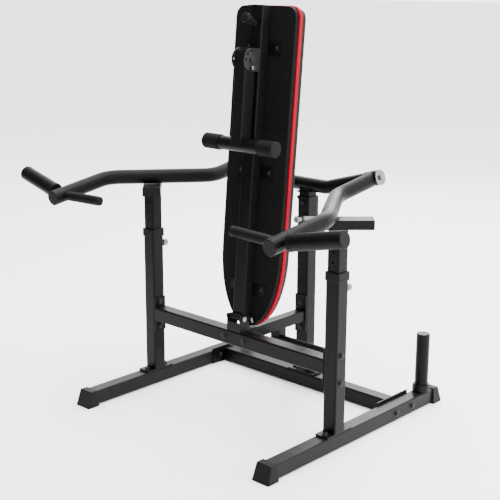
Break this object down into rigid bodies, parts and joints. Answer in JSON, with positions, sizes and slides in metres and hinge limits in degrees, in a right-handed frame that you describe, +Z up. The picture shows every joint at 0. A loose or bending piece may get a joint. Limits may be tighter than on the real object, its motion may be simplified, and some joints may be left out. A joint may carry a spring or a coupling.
{
  "type": "lever arm press machine",
  "caption": "Plate-loaded lever-arm press frame with telescoping posts, swinging arms, plate storage pegs and a padded bench that folds up for storage.",
  "frame": {"origin": "on the floor, in the middle of the overall box", "axes": "+X to the machine's right, +Y to its rear, +Z up"},
  "size_m": [1.405, 0.9528, 1.3591],
  "materials": {
    "black_powder_coat": "satin powder coat",
    "graphite_powder_coat": "satin powder coat",
    "blackened_steel": "black oxide",
    "chromed_steel": "polished",
    "moulded_black_plastic": "fine moulded texture",
    "black_rubber": "matte",
    "black_backing_fabric": "woven, matte",
    "dark_grey_vinyl": "grained",
    "red_vinyl": "smooth"
  },
  "bodies": {
    "frame": {"rail_left": "black_powder_coat", "rail_right": "black_powder_coat", "foot_front_left": "moulded_black_plastic", "foot_front_right": "moulded_black_plastic", "foot_rear_left": "moulded_black_plastic", "foot_rear_right": "moulded_black_plastic", "floor_beam": "black_powder_coat", "upright_left": "black_powder_coat", "upright_right": "black_powder_coat", "front_beam": "black_powder_coat", "rear_beam": "black_powder_coat", "rear_upright": "black_powder_coat", "plate_peg_left": "black_powder_coat", "plate_peg_right": "black_powder_coat", "bench_bracket": "black_powder_coat", "bench_hinge_pin": "chromed_steel", "collar_left": "moulded_black_plastic", "collar_right": "moulded_black_plastic", "collar_rear": "moulded_black_plastic", "pin_housing_left": "blackened_steel", "pin_housing_right": "blackened_steel", "pin_housing_rear": "blackened_steel"},
    "rear_post_body": {"rear_post": "black_powder_coat", "pivot_washer_left": "chromed_steel", "pivot_washer_right": "chromed_steel", "pivot_bolt_left": "chromed_steel", "pivot_bolt_right": "chromed_steel"},
    "bench_body": {"spine": "black_powder_coat", "spine_cap": "moulded_black_plastic", "pad_board": "black_backing_fabric", "pad_trim": "red_vinyl", "pad_cushion": "dark_grey_vinyl", "pull_handle": "black_rubber", "hinge_plate_left": "blackened_steel", "hinge_plate_right": "blackened_steel", "leg_pivot_bolt": "blackened_steel"},
    "leg_body": {"leg_frame": "black_powder_coat", "foot_grip_left": "black_rubber", "foot_grip_right": "black_rubber"},
    "leg_lock_body": {"leg_lock_pin": "chromed_steel"},
    "bench_lock_body": {"bench_lock_pin": "chromed_steel"},
    "rear_knob_body": {"pull_knob_rear": "chromed_steel"},
    "left_post_body": {"post_left": "black_powder_coat", "rest_cap_inner_left": "moulded_black_plastic", "rest_cap_outer_left": "moulded_black_plastic"},
    "left_arm_body": {"arm_left": "graphite_powder_coat", "pivot_bush_left": "moulded_black_plastic", "arm_cap_left": "moulded_black_plastic", "plate_sleeve_left": "graphite_powder_coat", "hand_grip_left": "black_rubber"},
    "left_knob_body": {"pull_knob_left": "chromed_steel"},
    "right_post_body": {"post_right": "black_powder_coat", "rest_cap_inner_right": "moulded_black_plastic", "rest_cap_outer_right": "moulded_black_plastic"},
    "right_arm_body": {"arm_right": "graphite_powder_coat", "pivot_bush_right": "moulded_black_plastic", "arm_cap_right": "moulded_black_plastic", "plate_sleeve_right": "graphite_powder_coat", "hand_grip_right": "black_rubber"},
    "right_knob_body": {"pull_knob_right": "chromed_steel"}
  },
  "joints": [
    {"name": "left_post_slide", "type": "slide", "parent": "frame", "child": "left_post_body", "axis": [0, 0, 1], "range_m": [-0.093, 0]},
    {"name": "left_arm_lift", "type": "hinge", "parent": "rear_post_body", "child": "left_arm_body", "pos_m": [-0.28, 0.26366, 0.80063], "axis": [-0.9613, 0, 0.2756], "range_deg": [0, 60]},
    {"name": "left_pin_pull", "type": "slide", "parent": "frame", "child": "left_knob_body", "axis": [0, 1, 0], "range_m": [0, 0.01], "stiffness_N_per_m": 400},
    {"name": "right_post_slide", "type": "slide", "parent": "frame", "child": "right_post_body", "axis": [0, 0, 1], "range_m": [-0.093, 0]},
    {"name": "right_arm_lift", "type": "hinge", "parent": "rear_post_body", "child": "right_arm_body", "pos_m": [0.28, 0.26366, 0.80063], "axis": [-0.9613, 0, -0.2756], "range_deg": [0, 60]},
    {"name": "right_pin_pull", "type": "slide", "parent": "frame", "child": "right_knob_body", "axis": [0, 1, 0], "range_m": [0, 0.01], "stiffness_N_per_m": 400},
    {"name": "rear_post_slide", "type": "slide", "parent": "frame", "child": "rear_post_body", "axis": [0, 0, 1], "range_m": [0, 0.093]},
    {"name": "rear_pin_pull", "type": "slide", "parent": "frame", "child": "rear_knob_body", "axis": [0, -1, 0], "range_m": [0, 0.01], "stiffness_N_per_m": 400},
    {"name": "bench_fold", "type": "hinge", "parent": "frame", "child": "bench_body", "pos_m": [0, -0.09484, 0.341], "axis": [1, 0, 0], "range_deg": [0, 95.5]},
    {"name": "leg_fold", "type": "hinge", "parent": "bench_body", "child": "leg_body", "pos_m": [0, -0.05513, 1.19077], "axis": [-1, 0, 0], "range_deg": [0, 90]},
    {"name": "leg_pin_pull", "type": "slide", "parent": "bench_body", "child": "leg_lock_body", "axis": [1, 0, 0], "range_m": [0, 0.008], "stiffness_N_per_m": 400},
    {"name": "bench_pin_pull", "type": "slide", "parent": "frame", "child": "bench_lock_body", "axis": [1, 0, 0], "range_m": [0, 0.075]}
  ]
}
